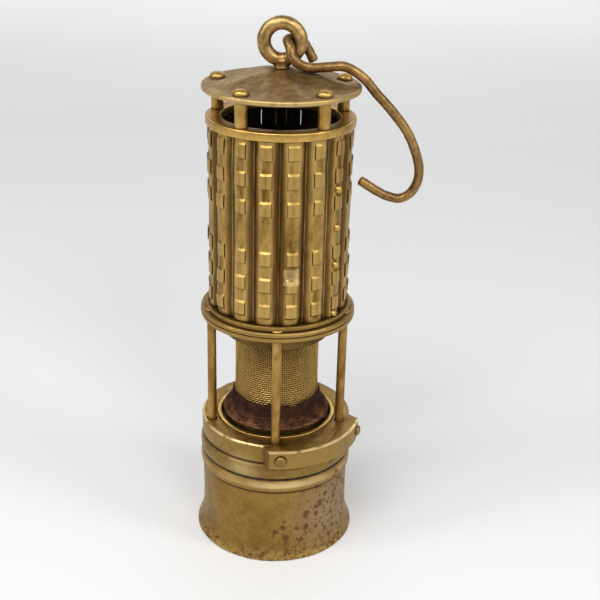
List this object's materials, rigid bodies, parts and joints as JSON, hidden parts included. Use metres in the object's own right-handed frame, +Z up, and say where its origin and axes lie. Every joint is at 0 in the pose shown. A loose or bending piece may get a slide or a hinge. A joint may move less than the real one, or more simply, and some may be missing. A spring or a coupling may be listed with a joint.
{
  "type": "miner's safety lamp",
  "caption": "Flame safety lamp: screwed fuel font, pillared cage, gauze, corrugated bonnet with louvres, vented domed cap, swivel eye and hanging hook.",
  "frame": {"origin": "centre of the flat underside of the font, on the lamp's axis, in the plane that it stands on", "axes": "+Z up along the lamp's axis, -Y towards the front pillar, +X the side that the hook hangs on"},
  "size_m": [0.1186, 0.0937, 0.2902],
  "materials": {
    "font_brass": "worn satin, spotted with corrosion at the lower right",
    "ring_brass": "worn satin with brown patina",
    "bonnet_brass": "satin gilt brass with dark grooves",
    "cap_bronze": "dull grey-brown patina with pale specks",
    "pillar_brass": "worn, slightly orange",
    "hook_bronze": "dark brown patina with coppery highlights",
    "gauze_brass": "fine woven wire",
    "rusted_iron": "dark red-brown rust",
    "steel": "dull",
    "flint": "matt grey",
    "leather": "dark, oiled",
    "cotton": "undyed"
  },
  "bodies": {
    "font": {"font_shell": "font_brass", "font_bottom_plate": "font_brass", "font_neck": "ring_brass", "wick_key_tube": "font_brass", "relighter_tube": "font_brass", "fuel_packing": "cotton", "burner_plug": "ring_brass", "wick_tube": "ring_brass", "flint_holder": "ring_brass", "flint": "flint", "flint_spring": "steel"},
    "wick": {"wick": "cotton", "wick_carrier": "steel"},
    "wick_key": {"wick_knob": "ring_brass", "wick_screw": "steel"},
    "relighter": {"relighter_knob": "ring_brass", "relighter_shaft": "steel", "striker_wheel": "steel"},
    "filler_washer": {"filler_washer": "leather"},
    "filler_plug": {"filler_plug": "ring_brass"},
    "font_gasket": {"font_gasket": "leather"},
    "gauze": {"gauze_outer": "gauze_brass", "gauze_inner": "gauze_brass", "gauze_foot_ring": "rusted_iron"},
    "cage": {"base_ring": "ring_brass", "seat_ring": "ring_brass", "lock_cover": "ring_brass", "lock_screw_1": "ring_brass", "lock_screw_2": "ring_brass", "lock_pin": "steel", "lock_spring": "steel", "pillar_1": "pillar_brass", "pillar_2": "pillar_brass", "pillar_3": "pillar_brass", "pillar_4": "pillar_brass", "pillar_5": "pillar_brass", "frame_top_ring": "ring_brass", "glass_seat_collar": "ring_brass", "bonnet_base_ring": "ring_brass", "bonnet_shell": "bonnet_brass", "bonnet_rivet_1": "bonnet_brass", "bonnet_rivet_2": "bonnet_brass", "bonnet_rivet_3": "bonnet_brass", "bonnet_top_ring": "ring_brass", "cap_post_1": "ring_brass", "cap_post_2": "ring_brass", "cap_post_3": "ring_brass", "cap_post_4": "ring_brass", "cap_post_5": "ring_brass", "cap": "cap_bronze"},
    "lock_pawl": {"lock_pawl": "steel"},
    "eye": {"eye_bolt": "cap_bronze", "eye_nut": "steel"},
    "hook": {"hook": "hook_bronze"}
  },
  "joints": [
    {"name": "cage_lift", "type": "slide", "parent": "font", "child": "font_gasket", "axis": [0, 0, 1], "range_m": [0, 0.01]},
    {"name": "cage_unscrew", "type": "hinge", "parent": "font_gasket", "child": "cage", "pos_m": [0, 0, 0.06], "axis": [0, 0, 1], "range_deg": [0, 1440]},
    {"name": "lock_turn", "type": "hinge", "parent": "cage", "child": "lock_pawl", "pos_m": [0.03648, -0.02369, 0.0662], "axis": [0, 0, -1], "range_deg": [0, 5.2]},
    {"name": "eye_swivel", "type": "hinge", "parent": "cage", "child": "eye", "pos_m": [0, 0, 0.2642], "axis": [0, 0, 1], "continuous": true},
    {"name": "hook_swing", "type": "hinge", "parent": "eye", "child": "hook", "pos_m": [0, 0, 0.2777], "axis": [0, -1, 0], "range_deg": [0, 180]},
    {"name": "gauze_lift", "type": "slide", "parent": "font", "child": "gauze", "axis": [0, 0, 1], "range_m": [0, 0.035]},
    {"name": "wick_key_turn", "type": "hinge", "parent": "font", "child": "wick_key", "pos_m": [-0.0165, 0, 0.005], "axis": [0, 0, 1], "range_deg": [0, 2880]},
    {"name": "wick_rise", "type": "slide", "parent": "font", "child": "wick", "axis": [0, 0, 1], "range_m": [0, 0.006]},
    {"name": "relighter_turn", "type": "hinge", "parent": "font", "child": "relighter", "pos_m": [0.0165, 0, 0.005], "axis": [0, 0, 1], "continuous": true},
    {"name": "filler_out", "type": "slide", "parent": "font", "child": "filler_washer", "axis": [0, 0, -1], "range_m": [0, 0.006]},
    {"name": "filler_unscrew", "type": "hinge", "parent": "filler_washer", "child": "filler_plug", "pos_m": [0, 0.024, 0.003], "axis": [0, 0, -1], "range_deg": [0, 2160]}
  ],
  "couplings": [
    {"joint": "cage_lift", "follows": "cage_unscrew", "m_per_rad": 0.00039789},
    {"joint": "wick_rise", "follows": "wick_key_turn", "m_per_rad": 0.00011937},
    {"joint": "filler_out", "follows": "filler_unscrew", "m_per_rad": 0.00015915}
  ]
}
